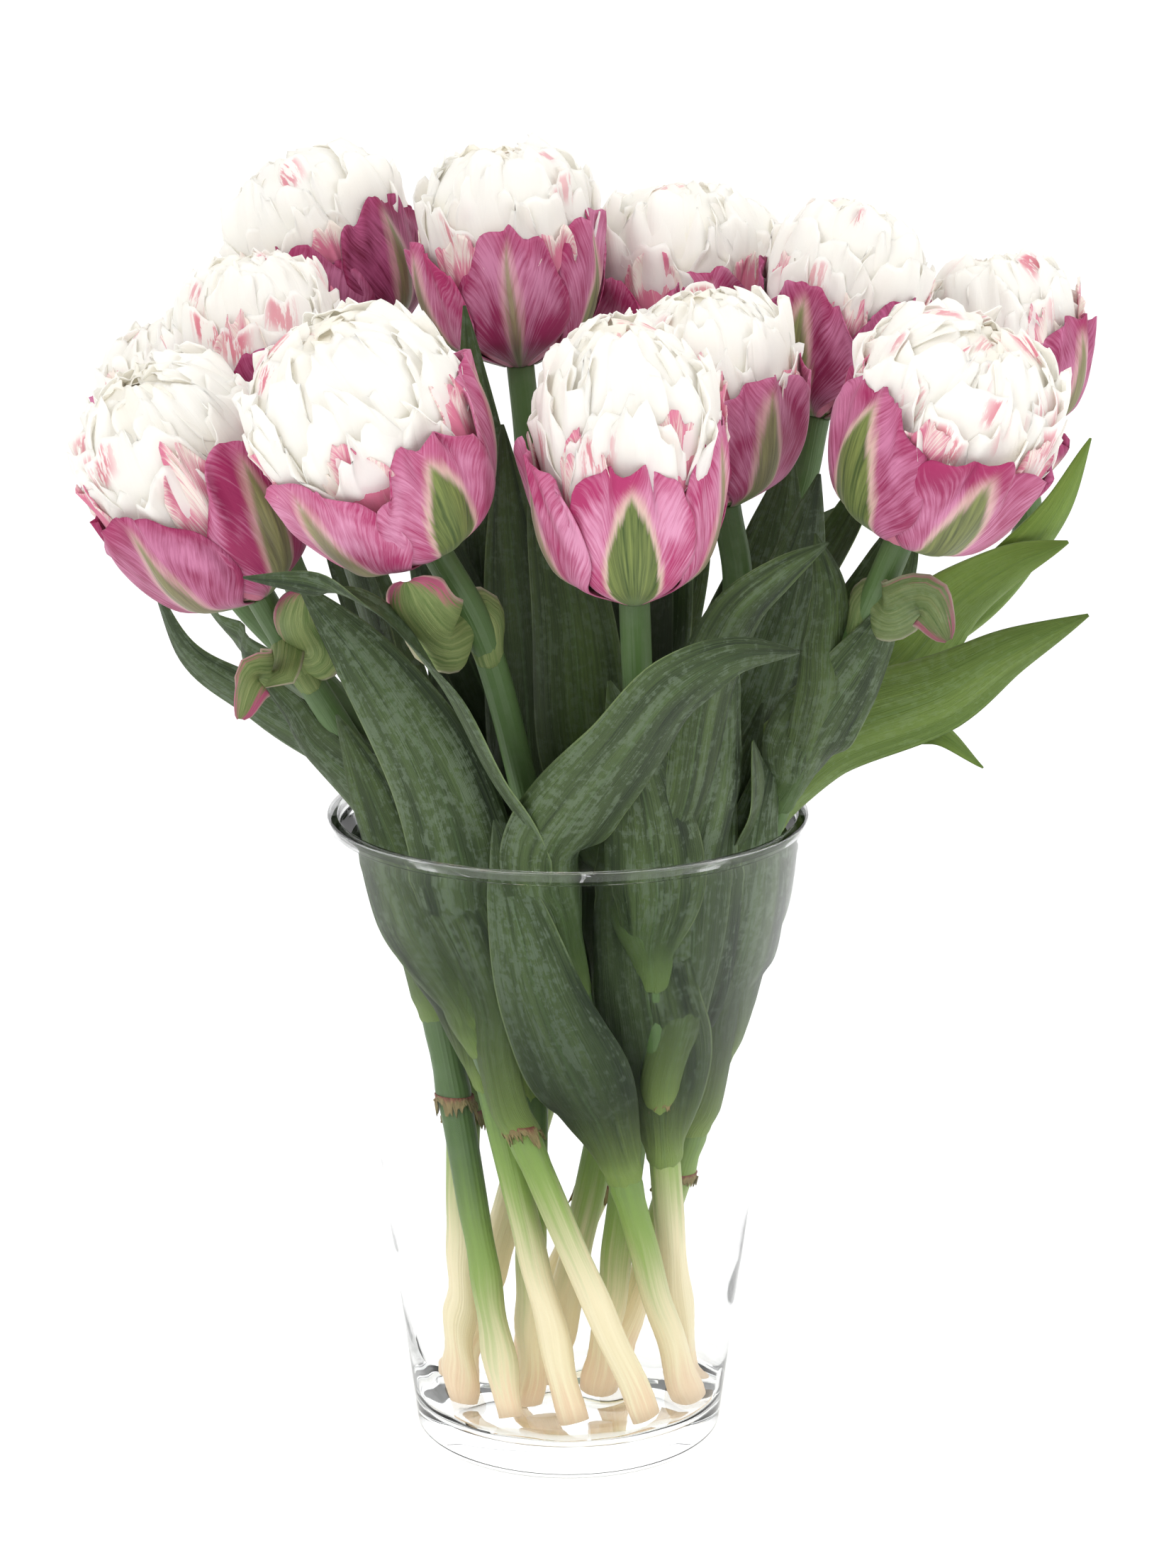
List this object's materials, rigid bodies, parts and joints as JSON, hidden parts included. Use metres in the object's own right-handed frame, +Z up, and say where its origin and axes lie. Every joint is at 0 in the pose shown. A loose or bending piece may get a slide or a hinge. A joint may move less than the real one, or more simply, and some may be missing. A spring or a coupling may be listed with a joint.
{
  "type": "vase of double tulips",
  "caption": "Bunch of double tulips with white frilled centres, magenta outer petals and grey-green leaves, standing in a clear conical glass vase of water.",
  "frame": {"origin": "centre of the vase's flat underside", "axes": "+Z up along the vase's axis, -Y towards the front of the picture, +X to the right in it"},
  "size_m": [0.3829, 0.2854, 0.4994],
  "materials": {
    "vase_glass": "clear polished glass",
    "water": "clear still water",
    "stem_and_leaf": "fresh stem and leaf, waxy satin",
    "outer_petal": "fresh petal, silky",
    "white_petal": "fresh petal, soft and slightly translucent"
  },
  "bodies": {
    "root": {"vase": "vase_glass", "water": "water", "stem_left_front": "stem_and_leaf", "outer_petals_left_front": "outer_petal", "white_petals_left_front": "white_petal", "stem_left_middle": "stem_and_leaf", "outer_petals_left_middle": "outer_petal", "white_petals_left_middle": "white_petal", "stem_left_back": "stem_and_leaf", "outer_petals_left_back": "outer_petal", "white_petals_left_back": "white_petal", "stem_back_left": "stem_and_leaf", "outer_petals_back_left": "outer_petal", "white_petals_back_left": "white_petal", "stem_back_middle": "stem_and_leaf", "outer_petals_back_middle": "outer_petal", "white_petals_back_middle": "white_petal", "stem_back_right": "stem_and_leaf", "outer_petals_back_right": "outer_petal", "white_petals_back_right": "white_petal", "stem_right_middle": "stem_and_leaf", "outer_petals_right_middle": "outer_petal", "white_petals_right_middle": "white_petal", "stem_right_back": "stem_and_leaf", "outer_petals_right_back": "outer_petal", "white_petals_right_back": "white_petal", "stem_right_front": "stem_and_leaf", "outer_petals_right_front": "outer_petal", "white_petals_right_front": "white_petal", "stem_front_middle": "stem_and_leaf", "outer_petals_front_middle": "outer_petal", "white_petals_front_middle": "white_petal", "stem_front_left": "stem_and_leaf", "outer_petals_front_left": "outer_petal", "white_petals_front_left": "white_petal", "stem_middle": "stem_and_leaf", "outer_petals_middle": "outer_petal", "white_petals_middle": "white_petal"}
  },
  "joints": []
}
